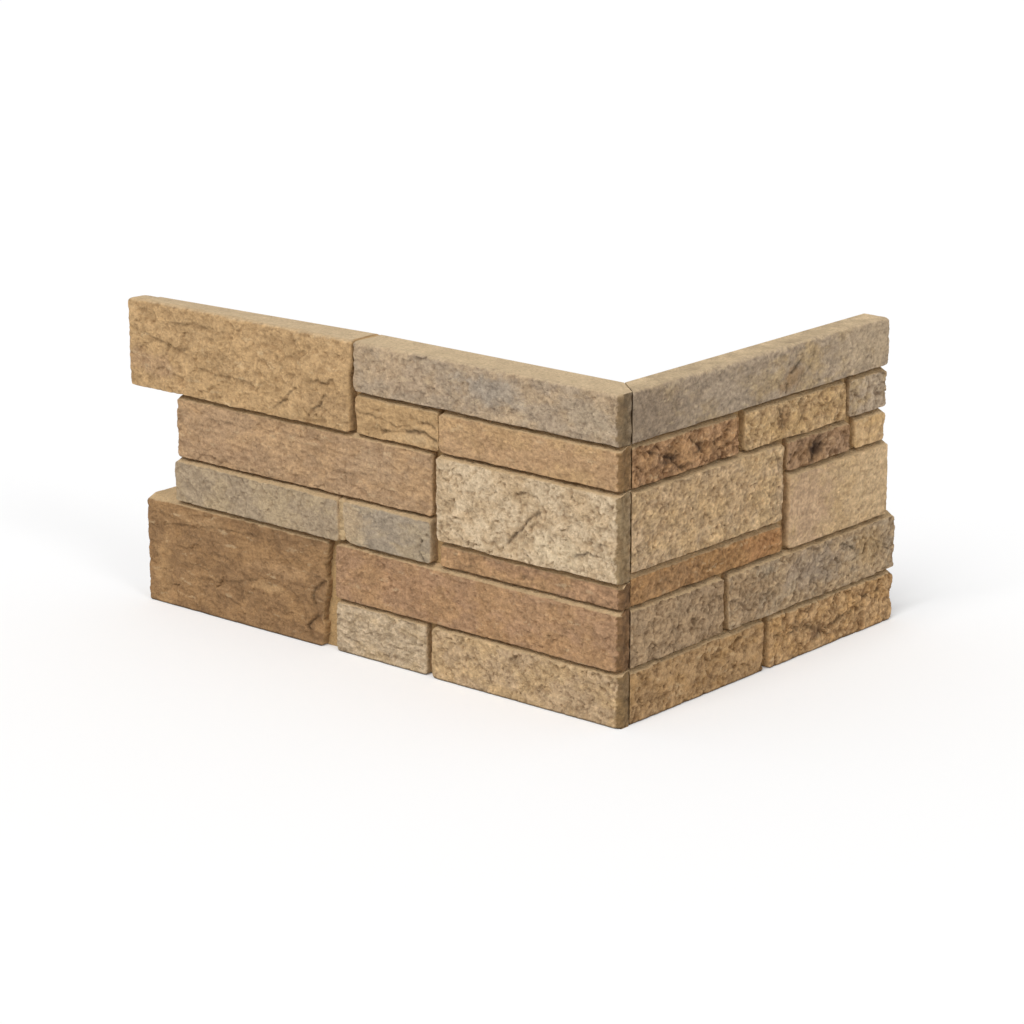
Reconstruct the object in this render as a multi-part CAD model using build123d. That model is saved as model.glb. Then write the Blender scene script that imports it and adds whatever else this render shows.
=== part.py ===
"""Ledge-stone corner veneer: two cast concrete wings, mitred and glued into an L.

Millimetres, +Z up, with the origin under the middle of the piece. The long wing lies along
-X from the wall corner with its flat back facing +Y. The short wing lies along +Y with its
flat back facing -X. Each wing is first modelled lying along +X with its back on y = 0 and
its stones toward -Y, where x is the distance from the wall corner, and is then turned or
mirrored into place.
"""
import os
from math import cos, radians, tan

from build123d import *

# Courses shared by both wings, from the foot upward
BOTTOM_COURSE = 26.0
SECOND_COURSE = 28.0
THIN_COURSE = 12.0
TALL_COURSE = 41.0
UPPER_COURSE = 20.0
TOP_COURSE = 23.0

# Stones that break those courses
LONG_MIDDLE_HEIGHT = 22.0
SHORT_THIN_HEIGHT = 15.0
SHORT_SMALL_HEIGHT = 16.0

# Joints pressed into the castings between the stones
BED_JOINT = 2.0
CROSS_JOINT = 3.5
NARROW_JOINT = 2.2
HAIR_JOINT = 1.2

# Each casting from the wall to the bottom of its joints, and its relief above them
LONG_BED = 13.5
LONG_RELIEF = 6.0
SHORT_BED = 9.0
SHORT_RELIEF = 4.5

# How far the backing plate stops short of the stones at the stepped ends
END_SETBACK = 3.0

# The corner: the long wing's cut end lies a little inside the short wing's face
CORNER_STEP = 0.5
MITRE_ANGLE = 39.0
GLUE_LINE = 0.4
GLUE_SETBACK = 1.0

# Moulded shape of the stones
OUTLINE_ROUNDING = 2.2
ARRIS_BEVEL = 1.4
DRAFT_ANGLE = 4.0
BROKEN_END_LEAN = 7.0
WORN_CORNER = 6.0
SOFT_CORNER = 3.6

# How far a stone's face lies behind the furthest ones of its wing
FLUSH = 0.0
NEARLY_FLUSH = 0.4
SLIGHTLY_BACK = 0.9
SET_BACK = 1.4
WELL_BACK = 1.9
DEEP_BACK = 2.4

# Far end of each stone of the long wing, from the wall corner
LONG_TOP_END = 142.0
LONG_BLOCK_END = 289.0
LONG_UPPER_END = 89.5
LONG_TALL_END = 92.0
LONG_PINK_END = 259.0
LONG_THIN_END = 89.5
LONG_GREY_END = 150.0
LONG_MIDDLE_END = 260.5
LONG_SECOND_END = 156.0
LONG_LOW_BLOCK_END = 281.0
LONG_BOTTOM_END = 96.0

# Far end of each stone of the short wing, from the wall corner
SHORT_TOP_END = 182.5
SHORT_UPPER_END = 67.0
SHORT_UPPER_MIDDLE_END = 149.0
SHORT_UPPER_LAST_END = 182.0
SHORT_TALL_END = 100.5
SHORT_DARK_END = 153.0
SHORT_OCHRE_END = 181.0
SHORT_THIN_END = 101.5
SHORT_SMOOTH_END = 184.5
SHORT_SECOND_END = 57.0
SHORT_SECOND_LAST_END = 192.0
SHORT_BOTTOM_END = 88.0
SHORT_BOTTOM_LAST_END = 191.0

# Levels and depths that follow from those sizes
LEVEL_1 = BOTTOM_COURSE
LEVEL_2 = LEVEL_1 + SECOND_COURSE
LEVEL_3 = LEVEL_2 + THIN_COURSE
LEVEL_4 = LEVEL_3 + TALL_COURSE
LEVEL_5 = LEVEL_4 + UPPER_COURSE
HEIGHT = LEVEL_5 + TOP_COURSE
LONG_FACE = LONG_BED + LONG_RELIEF
SHORT_FACE = SHORT_BED + SHORT_RELIEF
CORNER_END = SHORT_FACE - CORNER_STEP


def stone(near, far, bottom, top, near_back, far_back, lean=0.0,
          far_foot=OUTLINE_ROUNDING, far_top=OUTLINE_ROUNDING):
    """One stone: its ends and levels, and how far its face lies back at each end.

    The lean is how much further from the corner its near end is at the foot than at the
    top, as where that end is broken away. The two radii are those of its far corners.
    """
    return {"near": near, "far": far, "bottom": bottom, "top": top,
            "near_back": near_back, "far_back": far_back, "lean": lean,
            "far_foot": far_foot, "far_top": far_top}


def long_stones():
    """The stones of the long wing, course by course from the top."""
    corner = -CORNER_END
    middle = LEVEL_2 + LONG_MIDDLE_HEIGHT
    past_top = LONG_TOP_END + NARROW_JOINT
    past_upper = LONG_UPPER_END + HAIR_JOINT
    past_tall = LONG_TALL_END + CROSS_JOINT
    past_thin = max(LONG_TALL_END, LONG_THIN_END) + CROSS_JOINT
    past_grey = LONG_GREY_END + NARROW_JOINT
    past_second = LONG_SECOND_END + CROSS_JOINT
    past_bottom = LONG_BOTTOM_END + CROSS_JOINT
    return [
        stone(corner, LONG_TOP_END, LEVEL_5, HEIGHT, NEARLY_FLUSH, SLIGHTLY_BACK,
              far_top=SOFT_CORNER),
        stone(past_top, LONG_BLOCK_END, LEVEL_4, HEIGHT, NEARLY_FLUSH, FLUSH,
              far_top=SOFT_CORNER),
        stone(corner, LONG_UPPER_END, LEVEL_4, LEVEL_5, SLIGHTLY_BACK, SET_BACK),
        stone(past_upper, LONG_TOP_END, LEVEL_4, LEVEL_5, SET_BACK, WELL_BACK),
        stone(corner, LONG_TALL_END, LEVEL_3, LEVEL_4, FLUSH, FLUSH, far_foot=SOFT_CORNER),
        stone(past_tall, LONG_PINK_END, middle, LEVEL_4, DEEP_BACK, WELL_BACK),
        stone(corner, LONG_THIN_END, LEVEL_2, LEVEL_3, DEEP_BACK, DEEP_BACK),
        stone(past_thin, LONG_GREY_END, LEVEL_2, middle, SLIGHTLY_BACK, SET_BACK,
              far_foot=WORN_CORNER),
        stone(past_grey, LONG_MIDDLE_END, LEVEL_2, middle, NEARLY_FLUSH, SLIGHTLY_BACK),
        stone(corner, LONG_SECOND_END, LEVEL_1, LEVEL_2, SET_BACK, WELL_BACK),
        stone(past_second, LONG_LOW_BLOCK_END, 0.0, LEVEL_2, WELL_BACK, SET_BACK,
              BROKEN_END_LEAN),
        stone(corner, LONG_BOTTOM_END, 0.0, LEVEL_1, WELL_BACK, SET_BACK),
        stone(past_bottom, LONG_SECOND_END, 0.0, LEVEL_1, DEEP_BACK, DEEP_BACK),
    ]


def short_stones():
    """The stones of the short wing, course by course from the top."""
    corner = -LONG_FACE
    split = LEVEL_4 - SHORT_SMALL_HEIGHT
    thin = LEVEL_2 + SHORT_THIN_HEIGHT
    past_upper = SHORT_UPPER_END + CROSS_JOINT
    past_middle = SHORT_UPPER_MIDDLE_END + CROSS_JOINT
    past_tall = SHORT_TALL_END + CROSS_JOINT
    past_dark = SHORT_DARK_END + CROSS_JOINT
    past_thin = max(SHORT_TALL_END, SHORT_THIN_END) + CROSS_JOINT
    past_second = SHORT_SECOND_END + CROSS_JOINT
    past_bottom = SHORT_BOTTOM_END + CROSS_JOINT
    return [
        stone(corner, SHORT_TOP_END, LEVEL_5, HEIGHT, NEARLY_FLUSH, FLUSH,
              far_top=SOFT_CORNER),
        stone(corner, SHORT_UPPER_END, LEVEL_4, LEVEL_5, SLIGHTLY_BACK, SET_BACK),
        stone(past_upper, SHORT_UPPER_MIDDLE_END, LEVEL_4, LEVEL_5, SLIGHTLY_BACK, SLIGHTLY_BACK),
        stone(past_middle, SHORT_UPPER_LAST_END, LEVEL_4, LEVEL_5, SET_BACK, SLIGHTLY_BACK),
        stone(corner, SHORT_TALL_END, thin, LEVEL_4, NEARLY_FLUSH, NEARLY_FLUSH),
        stone(past_tall, SHORT_DARK_END, split, LEVEL_4, SET_BACK, SLIGHTLY_BACK),
        stone(past_dark, SHORT_OCHRE_END, split, LEVEL_4, SLIGHTLY_BACK, NEARLY_FLUSH),
        stone(corner, SHORT_THIN_END, LEVEL_2, thin, SET_BACK, SET_BACK),
        stone(past_thin, SHORT_SMOOTH_END, LEVEL_2, split, NEARLY_FLUSH, NEARLY_FLUSH),
        stone(corner, SHORT_SECOND_END, LEVEL_1, LEVEL_2, SLIGHTLY_BACK, NEARLY_FLUSH),
        stone(past_second, SHORT_SECOND_LAST_END, LEVEL_1, LEVEL_2, FLUSH, FLUSH),
        stone(corner, SHORT_BOTTOM_END, 0.0, LEVEL_1, SLIGHTLY_BACK, SLIGHTLY_BACK),
        stone(past_bottom, SHORT_BOTTOM_LAST_END, 0.0, LEVEL_1, NEARLY_FLUSH, NEARLY_FLUSH),
    ]


def upper_edge(entry):
    """Top of a stone: the panel's own top, or one bed joint under the next stone's foot."""
    if entry["top"] >= HEIGHT:
        return HEIGHT
    return entry["top"] - BED_JOINT


def stone_outline(entry):
    """The rounded four-cornered outline of a stone in the plane of the wall."""
    top = upper_edge(entry)
    corners = [
        (entry["near"] + entry["lean"], entry["bottom"]),
        (entry["far"], entry["bottom"]),
        (entry["far"], top),
        (entry["near"], top),
    ]
    outline = make_face(Polyline(*corners, close=True))
    for radius, place in ((entry["far_foot"], corners[1]), (entry["far_top"], corners[2]),
                          (OUTLINE_ROUNDING, corners[0]), (OUTLINE_ROUNDING, corners[3])):
        corner = outline.vertices().sort_by_distance((*place, 0))[0]
        outline = fillet(corner, radius)
    return outline


def face_plane(entry, bed, relief):
    """The slightly turned plane that a stone's face is split on, looking out of the wall."""
    near = bed + relief - entry["near_back"]
    far = bed + relief - entry["far_back"]
    run = entry["far"] - entry["near"]
    return Plane(origin=(entry["near"], -near, 0), x_dir=(run, near - far, 0),
                 z_dir=(far - near, -run, 0))


def stone_solid(entry, bed, relief):
    """A stone: straight through the plate, drafted above it, split off and bevelled round."""
    outline = stone_outline(entry)
    root = extrude(Plane.XZ * outline, amount=bed)
    drafted = extrude(Plane.XZ.offset(bed) * outline, amount=relief, taper=DRAFT_ANGLE)
    drafted = split(drafted, bisect_by=face_plane(entry, bed, relief), keep=Keep.BOTTOM)
    front = drafted.faces().sort_by(Axis.Y)[0]
    shrink = relief * tan(radians(DRAFT_ANGLE))
    bevel = min(ARRIS_BEVEL, 0.9 * (OUTLINE_ROUNDING - shrink))
    return root + chamfer(front.edges(), bevel)


def plate(entries, bed, corner_reach):
    """The plate behind the stones, stepped at its far end with the courses."""
    steps = []
    for entry in entries:
        length = entry["far"] - END_SETBACK + corner_reach
        height = entry["top"] - entry["bottom"]
        step = Pos(-corner_reach, entry["bottom"]) * Rectangle(
            length, height, align=(Align.MIN, Align.MIN))
        steps.append(step)
    profile = steps[0].fuse(*steps[1:]).clean()
    return extrude(Plane.XZ * profile, amount=bed)


def wing(entries, bed, relief, corner_reach):
    """All the stones of one wing fused with the plate behind them."""
    casting = plate(entries, bed, corner_reach)
    for entry in entries:
        casting = casting + stone_solid(entry, bed, relief)
    return casting


def mitre_side(side):
    """Everything on one side of the mitre, half a glue line off it: -1 long, +1 short."""
    reach = 2 * (LONG_BLOCK_END + SHORT_SECOND_LAST_END)
    block = Box(reach, reach, 3 * HEIGHT)
    shift = side * (reach + GLUE_LINE) / 2
    return Rot(0, 0, -MITRE_ANGLE) * Pos(0, shift, 0) * block


def glue_film():
    """The glue in the mitre, held back from the faces so that the seam reads as a line."""
    length = (SHORT_BED - 2 * GLUE_SETBACK) / cos(radians(MITRE_ANGLE))
    film = Box(length, GLUE_LINE, HEIGHT - 2 * GLUE_SETBACK,
               align=(Align.MIN, Align.CENTER, Align.MIN))
    return Rot(0, 0, -MITRE_ANGLE) * Pos(GLUE_SETBACK, 0, GLUE_SETBACK) * film


def main():
    os.makedirs("parts", exist_ok=True)
    wall_corner = Pos((LONG_BLOCK_END - SHORT_FACE) / 2, (LONG_FACE - SHORT_SECOND_LAST_END) / 2)
    long_raw = wing(long_stones(), LONG_BED, LONG_RELIEF, SHORT_BED)
    short_raw = wing(short_stones(), SHORT_BED, SHORT_RELIEF, LONG_BED)
    long_wing = mirror(long_raw, about=Plane.YZ) & mitre_side(-1)
    short_wing = (Rot(0, 0, 90) * short_raw) & mitre_side(1)
    export_step(wall_corner * long_wing, "parts/long_wing.step")
    export_step(wall_corner * short_wing, "parts/short_wing.step")
    export_step(wall_corner * glue_film(), "parts/corner_adhesive.step")


main()
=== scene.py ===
"""Ledge-stone corner veneer: two cast concrete wings dressed with split-stone relief.

Run as a script. Sizes are millimetres in the functions and metres in the finished meshes.
Each wing is worked out in its own wing space (s, d, z): s is the distance from the wall's
corner along the wing, d the distance out of the wall and z the height.
"""
import math
from types import SimpleNamespace

import bpy
import numpy as np
from mathutils import Matrix, Vector


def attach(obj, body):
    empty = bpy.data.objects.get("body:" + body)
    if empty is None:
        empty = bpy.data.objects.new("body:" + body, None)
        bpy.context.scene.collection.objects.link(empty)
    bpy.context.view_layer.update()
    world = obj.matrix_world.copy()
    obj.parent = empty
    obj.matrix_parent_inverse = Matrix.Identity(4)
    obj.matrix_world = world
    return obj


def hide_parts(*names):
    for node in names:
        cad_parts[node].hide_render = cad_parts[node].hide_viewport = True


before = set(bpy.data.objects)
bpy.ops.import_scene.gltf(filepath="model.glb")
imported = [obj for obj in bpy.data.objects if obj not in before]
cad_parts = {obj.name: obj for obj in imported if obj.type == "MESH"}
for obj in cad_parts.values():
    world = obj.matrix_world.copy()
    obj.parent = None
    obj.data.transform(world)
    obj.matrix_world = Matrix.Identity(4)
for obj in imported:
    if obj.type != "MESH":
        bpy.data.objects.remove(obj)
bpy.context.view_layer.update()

bl_info = {
    "name": "Ledge-stone corner veneer",
    "version": (1, 0, 0),
    "blender": (4, 5, 0),
    "location": "View3D > Sidebar > Corner veneer",
    "description": "Builds the two cast wings of a stacked-stone corner and its stage",
    "category": "Object",
}

# The wall's corner in the frame, in millimetres
WALL_X = 137.75
WALL_Y = -86.25

# Casting sizes that repeat the part's own
HEIGHT = 150.0
LONG_BED = 13.5
LONG_FACE = 19.5
SHORT_BED = 9.0
SHORT_FACE = 13.5
CORNER_END = 13.0
MITRE = math.radians(39.0)
SEAM_HALF = 0.2
END_SETBACK = 3.0

# Levels of the courses
LEVEL_1 = 26.0
LEVEL_2 = 54.0
LEVEL_3 = 66.0
LEVEL_4 = 107.0
LEVEL_5 = 127.0
LONG_MIDDLE = 76.0
SHORT_THIN_TOP = 69.0
SHORT_SPLIT = 91.0

# Where each band of courses ends: its foot, its top and its distance from the corner
LOW_BLOCK_TOP = LEVEL_2 - 1.4
LONG_BANDS = ((0.0, LOW_BLOCK_TOP, 281.0), (LOW_BLOCK_TOP, LONG_MIDDLE, 260.5),
              (LONG_MIDDLE, LEVEL_4, 259.0), (LEVEL_4, HEIGHT, 289.0))
SHORT_BANDS = ((0.0, LEVEL_1, 191.0), (LEVEL_1, LEVEL_2, 192.0), (LEVEL_2, SHORT_SPLIT, 184.5),
               (SHORT_SPLIT, LEVEL_4, 181.0), (LEVEL_4, LEVEL_5, 182.0),
               (LEVEL_5, HEIGHT, 182.5))

# The stage: half the floor's width in metres, and the lights' name, azimuth to the right of
# the long wing's front, elevation and spread in degrees
FLOOR_HALF = 6.0
LIGHTS = (("key", 14.0, 52.0, 34.0), ("fill", 72.0, 34.0, 16.0))

# The camera that matches the photo: downward and sideways turn in degrees, place in metres,
# sensor width in millimetres
CAMERA_PITCH = 15.96
CAMERA_YAW = 40.51
CAMERA_PLACE = ((WALL_X + 855.2) / 1000, (WALL_Y - 1074.9) / 1000, 0.4849)
SENSOR_WIDTH = 36.0


# Small helpers

def linear(hex_colour):
    """A colour written in sRGB hex, turned to linear red, green, blue."""
    text = hex_colour.lstrip("#")
    parts = np.array([int(text[i:i + 2], 16) / 255.0 for i in (0, 2, 4)])
    return np.where(parts <= 0.04045, parts / 12.92, ((parts + 0.055) / 1.055) ** 2.4)


def smooth(low, high, value):
    """Smoothstep: 0 below low, 1 above high, an S-shaped cubic between."""
    t = np.clip((value - low) / (high - low), 0.0, 1.0)
    return t * t * (3.0 - 2.0 * t)


def scramble(ix, iy, iz, seed):
    """A whole-number hash of three lattice coordinates and a seed, as 32-bit numbers."""
    h = (ix.astype(np.uint32) * np.uint32(374761393)
         + iy.astype(np.uint32) * np.uint32(668265263)
         + iz.astype(np.uint32) * np.uint32(2246822519)
         + np.uint32(seed * 3266489917 & 0xFFFFFFFF))
    h = (h ^ (h >> np.uint32(15))) * np.uint32(2246822519)
    h = (h ^ (h >> np.uint32(13))) * np.uint32(3266489917)
    return h ^ (h >> np.uint32(16))


def share(h, shift):
    """Ten bits of a hash, from the given place on, as numbers from 0 to 1."""
    return ((h >> np.uint32(shift)) & np.uint32(1023)).astype(float) / 1023.0


def either_side(h, shift):
    """Ten bits of a hash, from the given place on, as numbers from -1 to 1."""
    return ((h >> np.uint32(shift)) & np.uint32(1023)).astype(float) / 511.5 - 1.0


def gradient_noise(points, wavelength, seed):
    """Gradient noise about -1 to 1: each lattice corner has a random slope, and the slopes'
    heights are blended across the cell by a quintic fade."""
    q = points / wavelength
    base = np.floor(q).astype(np.int64)
    f = q - base
    fade = f * f * f * (f * (f * 6.0 - 15.0) + 10.0)
    total = np.zeros(len(points))
    for dx in (0, 1):
        wx = fade[:, 0] if dx else 1.0 - fade[:, 0]
        for dy in (0, 1):
            wy = fade[:, 1] if dy else 1.0 - fade[:, 1]
            for dz in (0, 1):
                wz = fade[:, 2] if dz else 1.0 - fade[:, 2]
                h = scramble(base[:, 0] + dx, base[:, 1] + dy, base[:, 2] + dz, seed)
                dot = (either_side(h, 0) * (f[:, 0] - dx) + either_side(h, 10) * (f[:, 1] - dy)
                       + either_side(h, 20) * (f[:, 2] - dz))
                total += wx * wy * wz * dot
    return total * 1.6


def layered_noise(points, wavelength, seed, octaves=4, gain=0.5):
    """Fractal noise: octaves of gradient noise, each at about half the wavelength and gain
    times the height of the one before, turned a little so that no lattice shows."""
    turn = np.array([[0.80, 0.60, 0.0], [-0.48, 0.64, 0.60], [0.36, -0.48, 0.80]])
    total = np.zeros(len(points))
    height = 1.0
    q = points
    for octave in range(octaves):
        total += height * gradient_noise(q, wavelength, seed + 17 * octave)
        q = q @ turn.T
        wavelength = wavelength / 2.03
        height *= gain
    return total


def nearest_seed(points, size, seed):
    """For each flat point, the nearest of the seeds jittered in the cells of a flat lattice:
    its distance and the offset from it, in cells, and the seed's own hash number."""
    q = points / size
    base = np.floor(q).astype(np.int64)
    best = np.full(len(points), 9.0)
    off_x = np.zeros(len(points))
    off_y = np.zeros(len(points))
    owner = np.zeros(len(points), dtype=np.uint32)
    zero = np.zeros(len(points), dtype=np.int64)
    for dx in (-1, 0, 1):
        for dy in (-1, 0, 1):
            cx = base[:, 0] + dx
            cy = base[:, 1] + dy
            h = scramble(cx, cy, zero, seed)
            px = q[:, 0] - cx - share(h, 0)
            py = q[:, 1] - cy - share(h, 10)
            away = px * px + py * py
            closer = away < best
            best = np.where(closer, away, best)
            off_x = np.where(closer, px, off_x)
            off_y = np.where(closer, py, off_y)
            owner = np.where(closer, h, owner)
    return np.sqrt(best), off_x, off_y, scramble(owner, owner, owner, seed + 1)


def facets(points, size, seed, tilt, lift):
    """Struck facets: every nearest-seed cell is a plane with its own random tilt, at most
    tilt, and its own lift, at most lift millimetres, so that cells meet in small cliffs."""
    _, off_x, off_y, h = nearest_seed(points, size, seed)
    plane = either_side(h, 0) * off_x + either_side(h, 10) * off_y
    return tilt * size * plane + lift * either_side(h, 20)


def flake(points, line, width, depth):
    """A spalled flake along a line of straight runs: a cliff on the line's left side that
    fades over three widths, and a short lip on its right. Also how near each point is to
    the crease itself, from 0 to 1."""
    nearest = np.full(len(points), 1e9)
    side = np.zeros(len(points))
    for a, b in zip(line[:-1], line[1:]):
        a = np.array(a, float)
        run = np.array(b, float) - a
        t = np.clip(((points - a) @ run) / (run @ run), 0.0, 1.0)
        away = points - a - t[:, None] * run
        gap = np.linalg.norm(away, axis=1)
        closer = gap < nearest
        nearest = np.where(closer, gap, nearest)
        side = np.where(closer, run[0] * away[:, 1] - run[1] * away[:, 0], side)
    left = np.exp(-nearest / (1.5 * width))
    right = np.exp(-(nearest / (0.5 * width)) ** 2)
    crease = np.exp(-(nearest / (0.25 + 0.4 * width)) ** 2)
    return depth * np.where(side > 0, left, right), crease


# The stones

# Face pigments brushed on the cast stones: main, second and dark tone
PIGMENTS = {
    "ochre": ("#b19168", "#bb9a70", "#8c6e4a"),
    "ochre_smooth": ("#b08f6b", "#b5946b", "#937453"),
    "grey_beige": ("#a5927b", "#b0987a", "#857463"),
    "warm_grey": ("#a28f76", "#ad9879", "#887762"),
    "blue_grey": ("#9c8d79", "#a99679", "#817363"),
    "pink_tan": ("#a88a6a", "#b1906b", "#8a6e51"),
    "cream": ("#c9b394", "#b89e7c", "#917858"),
    "red_brown": ("#a07e5f", "#a6835d", "#82654a"),
    "red_tan": ("#a38162", "#a8845e", "#85684b"),
    "dark_ochre": ("#8c6d4c", "#9a7852", "#6e5237"),
    "light_tan": ("#b29878", "#b99c74", "#8a7253"),
    "layered_cream": ("#b7a286", "#b39b79", "#887355"),
    "smooth_grey": ("#a4917a", "#ab936f", "#857463"),
    "rust": ("#a27e5b", "#a68058", "#5d4230"),
    "red_thin": ("#9e784f", "#a78054", "#7c5a3b"),
    "rough_ochre": ("#b89a72", "#b09064", "#775b41"),
    "dark_umber": ("#97795c", "#957553", "#4c3728"),
    "smooth_beige": ("#bfa27c", "#bd9f76", "#9d815d"),
    "grey_brown": ("#a78c6c", "#9a8266", "#755f45"),
    "grey_tan": ("#ab9272", "#a08e76", "#786249"),
    "ochre_brown": ("#aa8a63", "#a68357", "#70543a"),
    "body": ("#b39a75", "#ab926d", "#957c5a"),
}

# The concrete as cast, seen in the joints, on the top and on the upper sides of the stones
BODY_TONE = linear("#bba07a")
END_TONE = linear("#a5865e")
TOP_TONE = linear("#c7af8c")
JOINT_TONE = linear("#b39367")

# Dust and painted highlight on the high points, the painted shade that hollows take away, and the
# corner's cut end: darker in tone, with painted shade at its arris
DUST_AND_HIGHLIGHT_TONE = linear("#d2ba94")
HOLLOW_SHADE = linear("#6f5338") / linear("#b09676")
CORNER_TONE_AND_SHADE = linear("#77664f") / linear("#a79681")


def split(wave, size, lift, tilt, small, chip, ridge, grain, layer, pit, rounding, wander,
          stretch):
    """How a face was split, in millimetres: its low wave, the size, lift and tilt of its
    large facets, the size and lift of the small ones, its ridges, grain, layers and pits,
    the arris roundings at the near end, the far end, the foot and the top, the wander of
    its outline, and how much longer than tall its fine marks are."""
    return dict(wave=wave, size=size, lift=lift, tilt=tilt, small=small, chip=chip,
                ridge=ridge, grain=grain, layer=layer, pit=pit, rounding=rounding,
                wander=wander, stretch=stretch)


SPLITS = {
    "smooth": split(0.5, 9.0, 0.07, 0.06, 2.4, 0.11, 0.22, 0.22, 0.0, 0.34,
        (1.3, 1.6, 0.8, 0.9), 0.3, 2.4),
    "rippled": split(0.8, 10.0, 0.2, 0.14, 3.0, 0.16, 0.36, 0.2, 0.0, 0.25,
        (1.1, 1.6, 0.8, 0.8), 0.4, 1.8),
    "mottled": split(0.6, 7.0, 0.16, 0.14, 2.2, 0.2, 0.3, 0.24, 0.0, 0.35,
        (1.0, 1.6, 0.7, 0.8), 0.4, 1.5),
    "streaked": split(0.6, 9.0, 0.18, 0.12, 2.6, 0.18, 0.36, 0.22, 0.25, 0.25,
        (1.2, 1.5, 0.7, 0.8), 0.4, 3.0),
    "layered": split(0.5, 7.0, 0.22, 0.14, 2.6, 0.26, 0.45, 0.25, 0.6, 0.4,
        (1.1, 1.2, 0.7, 0.8), 0.5, 2.6),
    "pitted": split(0.7, 7.0, 0.24, 0.22, 2.2, 0.3, 0.38, 0.28, 0.0, 0.7,
        (1.0, 1.4, 0.8, 0.8), 0.5, 1.0),
    "rough": split(0.8, 7.5, 0.42, 0.32, 2.6, 0.4, 0.62, 0.34, 0.0, 0.6,
        (0.8, 1.2, 0.7, 0.7), 0.55, 1.0),
    "broken": split(0.9, 8.0, 0.6, 0.42, 2.8, 0.5, 0.8, 0.36, 0.0, 0.75,
        (0.8, 1.2, 0.7, 0.7), 0.55, 1.0),
}

# Radii of worn and soft corners in the outlines
WORN = 6.0
SOFT = 3.6
CRISP = 2.2

# How far the front of a stone's upper side lies below the course line, and its back
LONG_FALL = 2.2
SHORT_FALL = 2.4
BACK_FALL = 0.4

# Arris roundings that don't depend on the split: where a long or a short wing's stone meets
# the corner, at the panel's top and at its foot
LONG_CORNER_ARRIS = 2.6
SHORT_CORNER_ARRIS = 0.4
TOP_ARRIS = 1.9
FOOT_ARRIS = 0.9

# How far a set-back stone's face is lifted to centre its relief, how far every face lies
# back to leave room for it, how far it stays above the joints' bottoms, and how far off
# the wall plane, inside the plate, the stones' backs lie
CENTRING = 0.4
FACE_SPARE = 0.15
LEAST_COVER = 0.3
BACK_GAP = 0.3

# How far behind the seam a short wing's stone starts, to be slid onto the mitre
MITRE_SPARE = 0.6


def stone(ends, levels, face, pigment, kind, shade=1.0, rows=6, flakes=(), patches=(), lean=0.0,
          far_foot=CRISP, far_top=CRISP, hug=0.0, rag=0.0, tight=(1.0, 1.0), sag=0.0, speck=0.16):
    """One moulded stone of a wing: its two ends and levels, how far its face stands out at
    each end, its pigment and split, its flakes and colour patches, how much further from the
    corner its near end is at the foot, the radii of its far corners, how far its near end
    closes up to its neighbour near the top, how ragged its near end is, what its end
    arrises are multiplied by where it is butted tight, how far its upper side sinks to the
    back at its far end, and how strongly its face is speckled."""
    return dict(near=ends[0], far=ends[1], bottom=levels[0], top=levels[1], face=face,
                pigment=pigment, kind=SPLITS[kind], shade=shade, rows=rows, flakes=flakes,
                patches=patches, lean=lean, far_foot=far_foot, far_top=far_top, hug=hug,
                rag=rag, tight=tight, sag=sag, speck=speck)


LONG_UPPER = {
    "tall block": stone((144.2, 289.0), (LEVEL_4, HEIGHT), (19.1, 19.5), "ochre", "rippled",
        rows=10, far_top=SOFT, hug=1.7, sag=2.9,
        flakes=[([(278, 134), (268, 131), (258, 128), (249, 130)], 1.3, 0.8),
                ([(193, 110), (184, 117), (178, 123)], 1.2, 1.0),
                ([(170, 111), (163, 117), (160, 123)], 1.2, 1.3),
                ([(182, 128), (170, 127), (158, 129), (147, 131)], 1.2, 0.4),
                ([(262, 141), (245, 143), (225, 142)], 1.0, 0.5),
                ([(240, 122), (225, 120), (205, 121)], 1.5, 0.5)],
        patches=[((158, 116), (20, 10), "#a38561", 0.6), ((276, 120), (20, 7), "#a6876a", 0.5)]),
    "top stone": stone((-CORNER_END, 142.0), (LEVEL_5, HEIGHT), (19.1, 18.6), "grey_beige",
        "mottled", rows=20, far_top=1.2,
        patches=[((108, 137), (22, 9), "#b09679", 0.4), ((60, 141), (26, 7), "#9a9083", 0.6),
                 ((4, 136), (16, 9), "#ab9980", 0.5)]),
    "second stone": stone((-CORNER_END, 90.6), (LEVEL_4, LEVEL_5), (18.6, 18.1), "ochre_smooth",
        "smooth", rows=20, tight=(1.0, 0.35), speck=0.2),
    "small stone": stone((91.0, 142.0), (LEVEL_4, LEVEL_5), (18.0, 17.6), "ochre", "rippled",
        tight=(0.35, 1.0), speck=0.0,
        flakes=[([(140, 117), (126, 117), (116, 114), (108, 115)], 0.9, 0.8),
                ([(126, 111), (112, 112), (101, 114), (92, 112)], 1.3, 1.5),
                ([(104, 118), (98, 119), (93, 117)], 0.8, 0.9)],
        patches=[((104, 111), (12, 4), "#c0a47e", 0.6)]),
}

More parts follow.
